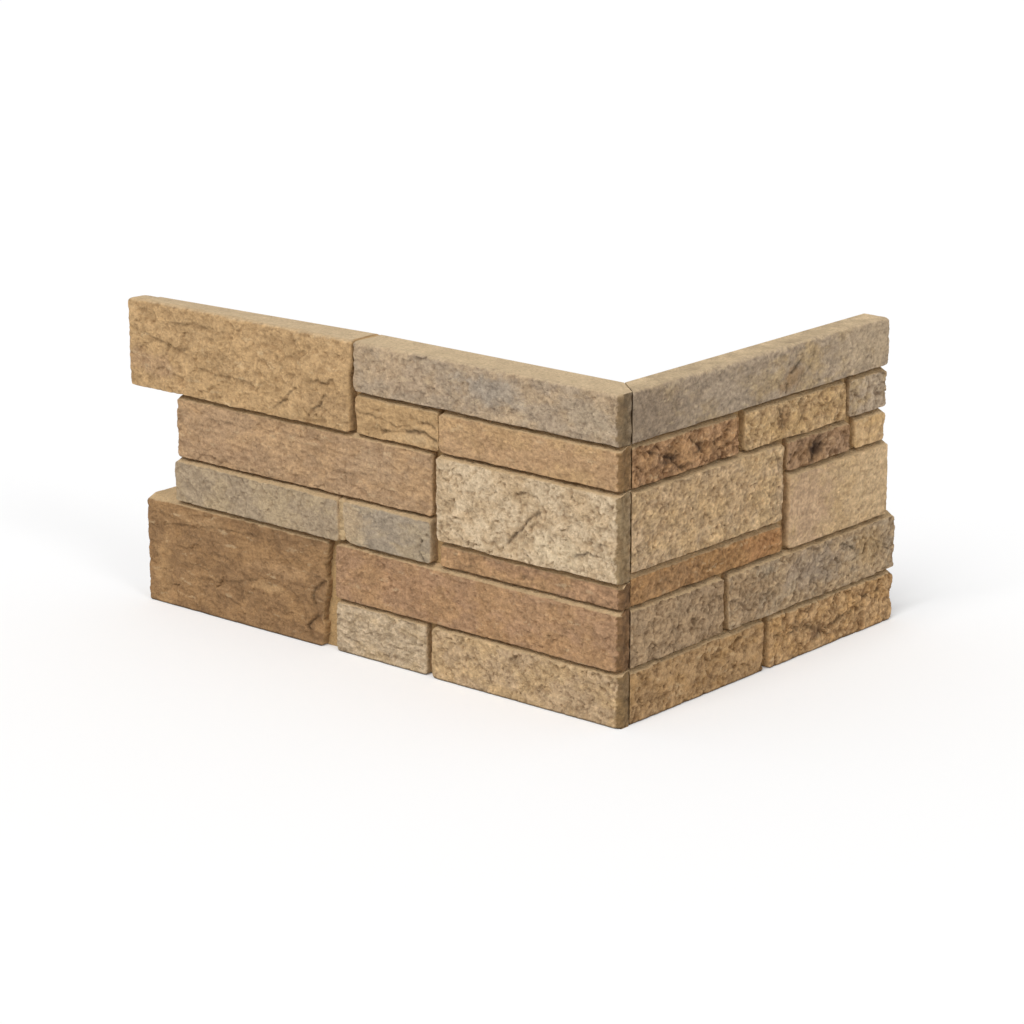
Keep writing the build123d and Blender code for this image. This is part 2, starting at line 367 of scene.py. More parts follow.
LONG_MIDDLE_STONES = {
    "big stone": stone((-CORNER_END, 92.0), (LEVEL_3, LEVEL_4), (19.5, 19.5), "cream", "pitted",
        rows=20, far_foot=SOFT, speck=0.0,
        flakes=[([(49, 74), (43, 80), (37, 86), (32, 90)], 1.5, 1.5),
                ([(44, 96), (38, 98), (33, 96)], 1.3, 1.1),
                ([(92, 87), (84, 85), (75, 84)], 0.5, 0.5),
                ([(12, 74), (4, 78), (-4, 76)], 1.3, 1.0)],
        patches=[((40, 95), (9, 6), "#a58a66", 0.5), ((20, 75), (20, 8), "#d0bc9c", 0.5)]),
    "pink stone": stone((95.5, 259.0), (LONG_MIDDLE, LEVEL_4), (17.2, 17.7), "pink_tan",
        "streaked",
        patches=[((190, 96), (26, 8), "#b3926d", 0.4), ((230, 84), (30, 6), "#9d7f62", 0.4),
                 ((130, 92), (24, 8), "#af9476", 0.4)],
        flakes=[([(235, 98), (215, 97), (195, 99)], 0.9, 0.5),
                ([(170, 88), (150, 87), (135, 89)], 0.9, 0.4)]),
    "thin stone": stone((-CORNER_END, 91.6), (LEVEL_2, LEVEL_3), (17.1, 17.1), "red_brown",
        "smooth", rows=20, speck=0.34),
    "blue stone": stone((95.5, 150.0), (LEVEL_2, LONG_MIDDLE), (18.6, 18.1), "blue_grey", "smooth",
        far_foot=WORN,
        flakes=[([(101, 64), (103, 60), (99, 55)], 1.2, 1.6)],
        patches=[((149, 64), (15, 13), "#b29b7c", 0.8), ((99, 64), (12, 14), "#968772", 0.6)]),
    "grey stone": stone((152.2, 260.5), (LEVEL_2, LONG_MIDDLE), (19.1, 18.6), "warm_grey",
        "mottled", speck=0.0),
    "joint smear": stone((148.4, 153.6), (LEVEL_2 + 0.4, LONG_MIDDLE + 0.2), (18.0, 18.0), "body",
        "smooth"),
}

LONG_LOWER = {
    "low long stone": stone((-CORNER_END, 156.0), (LEVEL_1, LEVEL_2), (18.1, 17.6), "red_tan",
        "mottled", rows=20,
        patches=[((40, 42), (30, 7), "#ae8a64", 0.4), ((110, 40), (24, 9), "#a07c5b", 0.4)]),
    "low block": stone((159.5, 281.0), (0.0, LEVEL_2), (17.6, 18.1), "dark_ochre", "streaked",
        lean=5.0, rag=2.2, speck=0.05,
        flakes=[([(166, 20), (168, 27), (161, 32)], 1.6, 1.8),
                ([(168, 4), (171, 9), (163, 14)], 1.6, 1.8),
                ([(270, 40), (240, 44), (205, 46)], 1.0, 0.5),
                ([(250, 16), (225, 20), (200, 26)], 1.2, 0.5)],
        patches=[((270, 14), (7, 22), "#ac895f", 0.6), ((240, 46), (26, 3.5), "#ab8a64", 0.5),
                 ((185, 32), (26, 4), "#ae8c66", 0.5), ((200, 22), (14, 3), "#b39269", 0.5)]),
    "foot stone": stone((-CORNER_END, 96.0), (0.0, LEVEL_1), (17.6, 18.1), "light_tan", "pitted",
        rows=20),
    "foot small stone": stone((99.5, 156.0), (0.0, LEVEL_1), (17.2, 17.2), "layered_cream",
        "layered", speck=0.24),
}

SHORT_UPPER = {
    "short top stone": stone((-SHORT_FACE, 182.5), (LEVEL_5, HEIGHT), (13.1, 13.5), "smooth_grey",
        "smooth", rows=10, far_top=SOFT, speck=0.26,
        flakes=[([(100, 129), (103, 136), (112, 141)], 1.2, 1.0),
                ([(111, 132), (119, 137), (123, 144)], 1.0, 0.7),
                ([(97, 131), (93, 136)], 0.8, 0.9)],
        patches=[((2, 138), (34, 20), "#8b7965", 0.9), ((55, 138), (34, 16), "#9b8a76", 0.5),
                 ((105, 134), (9, 7), "#967a58", 0.8), ((121, 141), (7, 9), "#b0966f", 0.6),
                 ((168, 140), (38, 16), "#b29d82", 0.85)]),
    "short rust stone": stone((-SHORT_FACE, 67.0), (LEVEL_4, LEVEL_5), (12.9, 12.4), "rust",
        "broken", speck=0.34,
        flakes=[([(2, 120), (12, 117), (20, 113), (27, 110)], 1.8, 1.9),
                ([(32, 119), (37, 117), (40, 113)], 1.3, 1.3)],
        patches=[((14, 115), (9, 3), "#4a3424", 0.75), ((37, 116), (4, 3), "#5a412e", 0.6)]),
    "short ochre stone": stone((70.5, 149.0), (LEVEL_4, LEVEL_5), (12.9, 12.7), "rough_ochre",
        "rough", shade=1.05, speck=0.24,
        flakes=[([(98, 110), (100, 116), (96, 124)], 1.3, 1.3),
                ([(114, 113), (116, 117), (112, 123)], 1.2, 1.1)],
        patches=[((99, 116), (6, 7), "#7a5c40", 0.6)]),
    "short end stone": stone((152.5, 182.0), (LEVEL_4, LEVEL_5), (12.3, 12.6), "smooth_grey",
        "rough", shade=1.12, speck=0.0),
    "short big stone": stone((-SHORT_FACE, 100.5), (SHORT_THIN_TOP, LEVEL_4), (13.1, 13.1),
        "light_tan", "pitted", shade=1.09, speck=0.34,
        patches=[((45, 88), (64, 26), "#b5956b", 0.4)]),
    "short dark stone": stone((104.0, 153.0), (SHORT_SPLIT, LEVEL_4), (12.2, 12.6), "dark_umber",
        "broken", shade=1.12, speck=0.0,
        flakes=[([(122, 93), (126, 96), (128, 100), (131, 104)], 1.8, 2.0),
                ([(113, 102), (112, 97)], 1.2, 1.2)],
        patches=[((126, 98), (6, 5), "#3a281d", 0.8)]),
    "short small stone": stone((156.5, 181.0), (SHORT_SPLIT, LEVEL_4), (12.7, 13.0), "rough_ochre",
        "rippled", shade=1.22, speck=0.05,
        flakes=[([(168, 96), (170, 105)], 0.9, 0.7)]),
}

SHORT_LOWER = {
    "short thin stone": stone((-SHORT_FACE, 101.5), (LEVEL_2, SHORT_THIN_TOP), (12.2, 12.2),
        "red_thin", "pitted", speck=0.3,
        patches=[((88, 61), (20, 9), "#a97c52", 0.7), ((20, 60), (32, 8), "#967655", 0.5)]),
    "short smooth stone": stone((105.0, 184.5), (LEVEL_2, SHORT_SPLIT), (13.1, 13.1),
        "smooth_beige", "smooth", speck=0.24,
        patches=[((118, 72), (26, 26), "#b5977a", 0.7), ((174, 74), (22, 26), "#c6aa85", 0.6)]),
    "short grey stone": stone((-SHORT_FACE, 57.0), (LEVEL_1, LEVEL_2), (12.8, 13.1), "grey_brown",
        "rough", speck=0.0),
    "short long stone": stone((60.5, 192.0), (LEVEL_1, LEVEL_2), (13.5, 13.5), "grey_tan", "rough",
        speck=0.24,
        flakes=[([(145, 48), (152, 46), (158, 42)], 1.4, 1.2),
                ([(84, 36), (92, 34), (96, 30)], 1.3, 1.1)],
        patches=[((75, 36), (20, 18), "#9c8060", 0.6), ((125, 41), (28, 12), "#958370", 0.6),
                 ((170, 40), (16, 10), "#a3875f", 0.6)]),
    "short foot stone": stone((-SHORT_FACE, 88.0), (0.0, LEVEL_1), (12.7, 12.7), "ochre_brown",
        "rough", speck=0.0),
    "short foot end stone": stone((91.5, 191.0), (0.0, LEVEL_1), (13.1, 13.1), "ochre_brown",
        "broken", shade=1.15, speck=0.26,
        flakes=[([(96, 14), (115, 13), (130, 12)], 1.5, 1.5),
                ([(138, 8), (153, 12), (168, 16), (180, 17)], 1.5, 1.3)],
        patches=[((128, 8), (7, 4), "#573d2a", 0.6)]),
}


def spaced(low, high, step):
    """Grid lines from low to high, close together near both edges and step apart between."""
    edge = np.array([0.0, 0.25, 0.55, 0.95, 1.45])
    inner = np.linspace(low + 2.0, high - 2.0, max(2, int(round((high - low - 4.0) / step))))
    return np.concatenate([low + edge, inner, high - edge[::-1]])


def outline_loop(rows, columns):
    """Grid indices round the border of a grid, anticlockwise from its first corner."""
    index = np.arange(rows * columns).reshape(rows, columns)
    return np.concatenate([index[0, :-1], index[:-1, -1], index[-1, :0:-1], index[:0:-1, 0]])


def walled(rows, columns, rows_back):
    """A closed block: quads of the front grid and of the rings behind its border, and the
    last ring, which bounds the one flat face at the back."""
    index = np.arange(rows * columns).reshape(rows, columns)
    quads = np.stack([index[:-1, :-1], index[:-1, 1:], index[1:, 1:], index[1:, :-1]], -1)
    quads = quads.reshape(-1, 4)
    loop = outline_loop(rows, columns)
    count = len(loop)
    rings = [loop] + [rows * columns + count * k + np.arange(count) for k in range(rows_back)]
    walls = []
    for upper, lower in zip(rings[:-1], rings[1:]):
        walls.append(np.stack([upper, lower, np.roll(lower, -1), np.roll(upper, -1)], -1))
    return np.concatenate([quads] + walls), rings[-1]


def split_relief(flat, space, kind, seed, flakes):
    """The split face as two heights in millimetres, both measured inward: the broad form
    (low waves, large facets, layers, flakes) and the fine form (small facets, ridges,
    grain, pits). Lattice patterns are bent by noise so that their cells look broken. The
    third array is how near each point is to a flake's crease, broken up by noise; it masks the
    painted shade in the cracks."""
    warp = np.stack([layered_noise(space, 15.0, seed + 1, 4, 0.6),
                     layered_noise(space, 15.0, seed + 2, 4, 0.6)], -1)
    tremble = np.stack([layered_noise(space, 4.2, seed + 11, 2),
                        layered_noise(space, 4.2, seed + 12, 2)], -1)
    bent = flat + 3.0 * warp + 0.5 * tremble
    broad = kind["wave"] * (0.5 + 0.5 * layered_noise(space, 34.0, seed + 3, 3))
    broad += facets(bent, kind["size"], seed + 4, kind["tilt"], kind["lift"])
    if kind["layer"]:
        level = bent[:, 1] / 4.6 + 0.5 * layered_noise(space * [0.3, 1, 1], 12.0, seed + 6, 3)
        broad += kind["layer"] * (level - np.floor(level)) ** 1.5
    crack_shade = np.zeros(len(flat))
    for line, width, depth in flakes:
        height, crease = flake(flat + 1.1 * warp + 0.5 * tremble, line, width, depth)
        broad += height
        crack_shade = np.maximum(crack_shade, crease * min(1.0, depth))
    crack_shade = crack_shade * smooth(-0.5, 0.3, layered_noise(space, 5.0, seed + 13, 3, 0.6))
    long_space = space / [kind["stretch"], 1.0, 1.0]
    long_flat = flat / [kind["stretch"], 1.0]
    fine = facets(long_flat + 0.9 * warp + 0.6 * tremble, kind["small"], seed + 5,
                  0.9 * kind["tilt"], kind["chip"])
    crest = layered_noise(long_space + 1.5 * warp[:, :1], 1.7 * kind["small"], seed + 9, 3, 0.65)
    fine += kind["ridge"] * (np.minimum(np.abs(crest) * 2.0, 1.3) - 0.5)
    fine += kind["grain"] * layered_noise(long_space, 1.9, seed + 8, 2, 0.6)
    hole, _, _, number = nearest_seed(flat + 0.7 * tremble, 2.9, seed + 7)
    chosen = (number >> np.uint32(7)) % np.uint32(100) < 42
    fine += kind["pit"] * np.where(chosen, 1.0 - smooth(0.05, 0.28, hole), 0.0)
    return broad, fine, crack_shade


def tinted(flat, space, entry, seed, broad, fine, crack_shade):
    """Colour of each point: the pigment's tones mixed by noise, its patches, painted shade in the
    hollows and cracks and painted highlight on the high points, speckled, and with light flecks
    of dust and painted highlight on the high points."""
    main, second, dark = (linear(tone) * entry["shade"] for tone in PIGMENTS[entry["pigment"]])
    mix_a = smooth(-0.35, 0.55, layered_noise(space * [0.6, 1, 1], 11.0, seed + 31, 5, 0.6))
    mix_b = smooth(0.05, 0.75, layered_noise(space * [0.7, 1, 1], 4.0, seed + 32, 4, 0.75))
    colour = main + (second - main) * (0.8 * mix_a)[:, None]
    colour = colour + (dark - colour) * (0.42 * mix_b)[:, None]
    for centre, reach, tone, strength in entry["patches"]:
        away = (flat - np.array(centre, float)) / np.array(reach, float)
        away = np.sqrt((away ** 2).sum(1)) + 0.45 * layered_noise(space, 7.0, seed + 33, 4, 0.6)
        weight = strength * (1.0 - smooth(0.35, 1.15, away))
        colour = colour + (linear(tone) - colour) * weight[:, None]
    # Painted shade in the hollows of the relief and painted highlight on its high points
    hollow = np.clip((broad - np.median(broad)) / 1.5, -0.7, 1.3)
    nick = np.clip(fine / 0.6, -0.9, 1.4)
    depth = np.clip(0.22 * hollow + 0.34 * nick, -0.35, 0.8)
    colour = colour * np.where(depth[:, None] > 0, 1.0 + (HOLLOW_SHADE - 1.0) * depth[:, None],
                               1.0 - 0.50 * depth[:, None])
    # Painted shade in the flakes' cracks
    colour = colour * (1.0 - 0.55 * crack_shade[:, None])
    dots = layered_noise(space / [1.4, 1, 1], 1.7, seed + 37, 2, 0.8)
    dots = dots + 0.5 * layered_noise(space / [1.8, 1, 1], 4.2, seed + 38, 2)
    colour = colour * (1.0 + entry["speck"] * dots)[:, None]
    # Dust and painted highlight: light flecks only on the high points of the fine relief
    drift = layered_noise(space / [3.5, 1, 1], 3.0, seed + 35, 3, 0.6)
    fleck = 0.30 * smooth(0.45, 0.95, drift) * (fine < 0.1)
    colour = colour + (DUST_AND_HIGHLIGHT_TONE * entry["shade"] - colour) * fleck[:, None]
    return np.clip(colour, 0.0, 1.0)


def round_corner(s, z, edge_s, sign_s, edge_z, sign_z, radius):
    """Presses the square corner of a grid onto a quarter disc of the given radius."""
    u = 1 - np.abs(edge_s - s) / radius
    v = 1 - np.abs(edge_z - z) / radius
    corner = (u > 0) & (v > 0)
    pu = u * np.sqrt(np.clip(1 - v * v / 2, 0, 1))
    pv = v * np.sqrt(np.clip(1 - u * u / 2, 0, 1))
    s = np.where(corner, edge_s + sign_s * radius * (pu - 1), s)
    z = np.where(corner, edge_z + sign_z * radius * (pv - 1), z)
    return s, z


def onto_mitre(points, long_wing, clear):
    """Slides what lies past the mitre onto its plane, clear of it by the given distance."""
    if long_wing:
        limit = -points[:, 1] / math.tan(MITRE) + clear / math.sin(MITRE)
    else:
        limit = -points[:, 1] * math.tan(MITRE) + clear / math.cos(MITRE)
    points[:, 0] = np.maximum(points[:, 0], limit)


def cast_bounds(entry, long_wing, seed):
    """What the steps of one stone's making share: its edges as cast, its split and its
    place in the wing."""
    at_top = entry["top"] >= HEIGHT
    at_corner = entry["near"] < 0
    near = entry["near"]
    if at_corner and not long_wing:
        near = -entry["face"][0] * math.tan(MITRE) - MITRE_SPARE
    fall = 0.0 if at_top else (LONG_FALL if long_wing else SHORT_FALL)
    return SimpleNamespace(
        near=near, far=entry["far"], bottom=entry["bottom"], top=entry["top"] - fall, fall=fall,
        at_top=at_top, at_foot=entry["bottom"] <= 0.0, at_corner=at_corner, long_wing=long_wing,
        bed=LONG_BED if long_wing else SHORT_BED, kind=entry["kind"], seed=seed)


def arrises(entry, cast, s, z, space):
    """The worn arrises of a face: how near each point is to an end and to the upper or
    lower edge, from 0 inside to 1 on it, how near to any edge, and how far the arris, a
    quarter ellipse, drops there in millimetres."""
    r_near, r_far, r_bottom, r_top = cast.kind["rounding"]
    r_near = r_near * entry["tight"][0]
    r_far = r_far * entry["tight"][1]
    if cast.at_corner:
        r_near = LONG_CORNER_ARRIS if cast.long_wing else SHORT_CORNER_ARRIS
    if cast.at_top:
        r_top = TOP_ARRIS
    if cast.at_foot:
        r_bottom = FOOT_ARRIS
    ragged = 1.0 + 0.7 * layered_noise(space, 9.0, cast.seed + 21, 4, 0.6)
    ragged = np.clip(ragged, 0.35, 2.2)
    if cast.at_foot:
        ragged = 1.0 + (ragged - 1.0) * smooth(1.0, 6.0, z)
    in_s = np.maximum(1 - (s - cast.near) / (r_near * ragged),
                      1 - (cast.far - s) / (r_far * ragged))
    in_z = np.maximum(1 - (z - cast.bottom) / (r_bottom * ragged),
                      1 - (cast.top - z) / (r_top * ragged))
    in_s = np.clip(in_s, 0.0, 1.0)
    in_z = np.clip(in_z, 0.0, 1.0)
    near_half = s < (cast.near + cast.far) / 2
    upper_half = z > (cast.bottom + cast.top) / 2
    size_s = np.where(near_half, r_near, r_far) * ragged
    size_z = np.where(upper_half, r_top, r_bottom) * ragged
    reach = np.clip(np.sqrt(in_s ** 2 + in_z ** 2), 0.0, 1.0)
    weight = (in_s + 1e-6) / (in_s + in_z + 2e-6)
    drop = (weight * size_s + (1 - weight) * size_z) * (1.0 - np.sqrt(1.0 - reach ** 2))
    return SimpleNamespace(in_s=in_s, in_z=in_z, reach=reach, drop=drop, near_half=near_half,
                           upper_half=upper_half)


def face_depth(entry, cast, edge, along, z, relief):
    """How far each point of a face stands out of the wall: the face's own depth less the
    arris drop and the split relief, which levels off before it reaches the joints' bottoms."""
    face = entry["face"][0] + (entry["face"][1] - entry["face"][0]) * along
    relief = (relief - FACE_SPARE) * (1.0 - 0.70 * edge.reach)
    if cast.at_foot:
        relief = relief * (0.4 + 0.6 * smooth(0.0, 5.0, z))
    furthest = LONG_FACE if cast.long_wing else SHORT_FACE
    face = face + np.minimum(CENTRING, furthest - face)
    room = face - cast.bed - 0.9
    relief = np.where(relief > 0, room * (1.0 - np.exp(-relief / room)), 0.25 * relief)
    depth = np.maximum(face - FACE_SPARE - edge.drop - relief, cast.bed + LEAST_COVER)
    return np.minimum(depth, face)


def cast_outline(entry, cast, edge, along, s, z, space):
    """Moves a face's points to the stone's outline: rounded corners, edges that wander but
    never at the foot, the top or the mitre, a leaning, ragged or closed-up near end."""
    near, far, bottom, top = cast.near, cast.far, cast.bottom, cast.top
    if not cast.at_corner:
        s, z = round_corner(s, z, near, -1, bottom, -1, CRISP)
        s, z = round_corner(s, z, near, -1, top, 1, 0.8 if entry["hug"] else CRISP)
    s, z = round_corner(s, z, far, 1, bottom, -1, entry["far_foot"])
    s, z = round_corner(s, z, far, 1, top, 1, entry["far_top"])
    s_room = smooth(0.0, 12.0, s - near) if cast.at_corner else np.ones_like(s)
    z_room = np.ones_like(z)
    if cast.at_foot:
        z_room = z_room * smooth(0.0, 6.0, z)
    if cast.at_top:
        z_room = z_room * smooth(0.0, 6.0, HEIGHT - z)
    if entry["hug"]:
        s_room = s_room * np.where(edge.near_half, 1.0 - smooth(136.0, 141.0, z), 1.0)
    seed = cast.seed
    sway = layered_noise(space, 13.0, seed + 22, 3) + 0.5 * layered_noise(space, 4.0, seed + 25, 2)
    lift = layered_noise(space, 19.0, seed + 23, 3) + 0.4 * layered_noise(space, 4.5, seed + 26, 2)
    tear = layered_noise(space * [0.2, 1, 1], 11.0, seed + 27, 4, 0.65)
    inward = np.where(edge.near_half, 1.0, -1.0)
    s = s + s_room * inward * cast.kind["wander"] * np.maximum(sway, -0.25)
    z = z + z_room * 0.8 * cast.kind["wander"] * np.clip(lift, -0.8, 0.8)
    s = s + entry["lean"] * (1 - (z - bottom) / (top - bottom)) * (1 - along) ** 3
    s = s + entry["rag"] * np.maximum(tear + 0.2, -0.2) * (1 - along) ** 6
    s = s - entry["hug"] * smooth(133.0, 141.0, z) * (1 - along) ** 4
    return s, z


def sides(entry, cast, s, z, depth, along):
    """The rings that run back from a face's border, given by its four values, to the wall:
    their points, how bitten each is, and which places of the border lie on an end, on the
    upper side and on the near end."""
    mid_s = (cast.near + cast.far) / 2
    mid_z = (cast.bottom + cast.top) / 2
    tall = cast.top - cast.bottom
    is_end = np.abs(s - mid_s) / (cast.far - cast.near) > np.abs(z - mid_z) / tall
    near_end = is_end & (s < mid_s)
    on_top = ~is_end & (z > mid_z)
    on_foot = ~is_end & (z < mid_z)
    out_s = np.where(is_end, np.sign(s - mid_s), 0.0)
    out_z = np.where(is_end, 0.0, np.sign(z - mid_z))
    flush = (on_foot & cast.at_foot) | (on_top & cast.at_top)
    climb = (z - cast.bottom) / tall
    rise = (0.0 if cast.at_top else cast.fall - BACK_FALL) * smooth(0.55, 1.0, climb)
    sink = entry["sag"] * smooth(0.55, 1.0, climb) * along
    deep = np.where(near_end & cast.at_corner, 0.9, 0.55)
    rings, bites = [], []
    for t in np.linspace(0.0, 1.0, entry["rows"] + 1)[1:]:
        if not cast.at_top:
            t = t ** 1.3
        d = depth + (BACK_GAP - depth) * t
        ring = np.stack([s, d, z], -1)
        bite = np.clip(0.3 + layered_noise(ring, 4.0, cast.seed + 24, 3, 0.6), 0.0, 1.2)
        dent = deep * bite * min(1.0, 6 * t * (1 - t)) * np.where(flush, 0.3, 1.0)
        climb_in = np.clip((depth - d) / (depth - cast.bed + 0.1), 0.0, 1.0)
        sinking = sink * smooth(0.25, 1.0, (depth - d) / depth)
        rings.append(np.stack([s - dent * out_s, d,
                               z - dent * out_z + rise * climb_in - sinking], -1))
        bites.append(bite)
    return rings, bites, on_top, near_end


def wear_and_shade_face(cast, edge, space, z, colours):
    """Wears the pigment of a face off over its arrises, to the bare cast tones, and paints shade
    on the turned arris at the corner and on the lower arris at the foot."""
    scuff = 0.25 * layered_noise(space, 3.0, cast.seed + 41, 3)
    top_edge = np.where(edge.upper_half, edge.in_z, 0.0)
    bare = 0.9 * smooth(0.30, 0.95, top_edge + scuff * (top_edge > 0))
    if cast.at_top:
        bare = bare * 0.7
    end_edge = np.where(edge.near_half & cast.at_corner, 0.0, edge.in_s)
    worn = 0.5 * smooth(0.45, 1.0, end_edge + scuff * (end_edge > 0))
    # Painted shade on the long wing's rounded arris at the corner, where it turns away from the
    # light
    if cast.at_corner and cast.long_wing:
        corner_shade = smooth(0.26, 0.46, edge.in_s + 1.5 * scuff * (edge.in_s > 0))
        corner_shade = np.where(edge.near_half, corner_shade, 0.0)
        colours *= 1.0 - (1.0 - CORNER_TONE_AND_SHADE) * corner_shade[:, None]
    # Painted contact shade: the foot's lower arris is darkened towards the floor
    if cast.at_foot:
        colours *= (1.0 - 0.7 * smooth(1.3, 0.3, z))[:, None]
    colours += (END_TONE - colours) * worn[:, None]
    colours += ((TOP_TONE if cast.at_top else BODY_TONE) - colours) * bare[:, None]


def wear_and_shade_side(cast, ring, border_depth, on_top, near_end, colours):
    """Covers the pigment of a ring with the bare cast tones: the upper side with the top's or
    the body's, the rest with the ends'. The cut end at the corner keeps its pigment, darker in
    tone, with painted shade that is deepest next to the arris and lighter further back."""
    mottle = layered_noise(ring, 7.0, cast.seed + 42, 4)
    mottle = 1.0 + 0.08 * mottle if cast.long_wing else 0.93 + 0.22 * mottle
    lid = TOP_TONE if cast.at_top else BODY_TONE
    tone = np.where(on_top[:, None], lid, END_TONE) * mottle[:, None]
    cover = np.where(on_top, 0.95, 0.65)
    # The cut end at the corner: a darker tone with painted shade, deepest next to the arris
    if cast.at_corner and cast.long_wing:
        inward = smooth(0.35, 1.0, (border_depth - ring[:, 1]) / 8.0)
        speckle = 1.0 + 0.22 * layered_noise(ring, 3.2, cast.seed + 43, 4, 0.7)
        dim = (CORNER_TONE_AND_SHADE + (1.0 - CORNER_TONE_AND_SHADE) * 0.6 * inward[:, None]) * speckle[:, None]
        tone = np.where(near_end[:, None], colours * dim, tone)
        cover = np.where(near_end, 1.0, cover)
    colours += (tone - colours) * cover[:, None]


def stone_arrays(entry, long_wing, seed, step):
    """A stone as wing-space points, quads, back ring and colours.

    The front is a grid over the outline, at the depth of the split and worn face. Rings
    from the grid's border run back to the wall, the upper side rising to the course line
    as it goes, and everything past the mitre is slid onto it.
    """
    cast = cast_bounds(entry, long_wing, seed)
    s, z = np.meshgrid(spaced(cast.near, cast.far, step), spaced(cast.bottom, cast.top, step))
    rows, columns = s.shape
    s = s.ravel()
    z = z.ravel()
    flat = np.stack([s, z], -1)
    space = np.stack([s, np.zeros_like(s), z], -1)
    along = (s - cast.near) / (cast.far - cast.near)
    edge = arrises(entry, cast, s, z, space)
    broad, fine, crack_shade = split_relief(flat, space, cast.kind, seed, entry["flakes"])
    depth = face_depth(entry, cast, edge, along, z, broad + fine)
    s, z = cast_outline(entry, cast, edge, along, s, z, space)
    loop = outline_loop(rows, columns)
    rings, bites, on_top, near_end = sides(entry, cast, s[loop], z[loop], depth[loop],
                                           along[loop])
    points = np.concatenate([np.stack([s, depth, z], -1)] + rings)
    points[:, 0] = np.minimum(points[:, 0], cast.far)
    if cast.at_corner:
        onto_mitre(points, long_wing, SEAM_HALF)

    # The bitten places of the sides go in as hollows, so they get the painted shade too
    fill = [0.1 + 0.5 * (bite - 0.3) for bite in bites]
    unrolled = np.stack([points[:, 0] + points[:, 1], points[:, 2]], -1)
    unrolled[:len(s)] = np.stack([s, z], -1)
    middle = np.median(broad)
    colours = tinted(unrolled, points, entry, seed,
                     np.concatenate([broad] + [value + middle for value in fill]),
                     np.concatenate([fine] + fill),
                     np.concatenate([crack_shade] + [np.zeros(len(loop))] * len(fill)))
    wear_and_shade_face(cast, edge, space, z, colours[:len(s)])
    for k in range(entry["rows"]):
        part = slice(len(s) + k * len(loop), len(s) + (k + 1) * len(loop))
        wear_and_shade_side(cast, points[part], depth[loop], on_top, near_end, colours[part])
    quads, ring = walled(rows, columns, entry["rows"])
    return points, quads, ring, np.clip(colours, 0.0, 1.0)


def plate_arrays(bands, long_wing, seed, step):
    """The plate behind the stones: a grid over the wing whose rows end where each band of
    courses ends, pressed smooth with slight hollows, walled back to the wall plane. On the
    long wing its upper edge sinks towards the far end as the tall block's does."""
    levels, far_ends = [], []
    for low, high, far in bands:
        low = max(low, 0.2)
        high = min(high, HEIGHT - 0.3)
        z = np.linspace(low, high, max(2, int((high - low) / step)))
        levels.append(z)
        far_ends.append(np.full(len(z), far - END_SETBACK))
    z = np.concatenate(levels)
    far = np.concatenate(far_ends)
    bed = LONG_BED if long_wing else SHORT_BED
    near = -SHORT_BED if long_wing else -bed * math.tan(MITRE) - 0.5
    across = np.linspace(0.0, 1.0, int((far.max() - near) / step))
    s = near + (far[:, None] - near) * across[None, :]
    z = np.repeat(z[:, None], len(across), 1)
    if long_wing:
        z = z - 3.3 * np.clip((s - 143.0) / 146.0, 0.0, 1.0) * smooth(HEIGHT - 25.0, HEIGHT, z)
    rows, columns = s.shape
    s = s.ravel()
    z = z.ravel()
    space = np.stack([s, np.zeros_like(s), z], -1)
    hollow = np.clip(0.6 + layered_noise(space, 9.0, seed, 4), 0.0, 2.0)
    front = np.stack([s, bed - 0.2 - 0.35 * hollow, z], -1)
    back = space[outline_loop(rows, columns)]
    points = np.concatenate([front, back])
    onto_mitre(points, long_wing, SEAM_HALF + 0.1)
    quads, ring = walled(rows, columns, 1)
    mottle = 1.0 + 0.10 * layered_noise(points, 12.0, seed + 3, 4)
    return points, quads, ring, np.clip(JOINT_TONE * mottle[:, None], 0.0, 1.0)


def to_frame(points, long_wing):
    """Wing space in millimetres to the frame in metres."""
    if long_wing:
        x = WALL_X - points[:, 0]
        y = WALL_Y - points[:, 1]
    else:
        x = WALL_X + points[:, 1]
        y = WALL_Y + points[:, 0]
    return np.stack([x, y, points[:, 2]], -1) / 1000.0


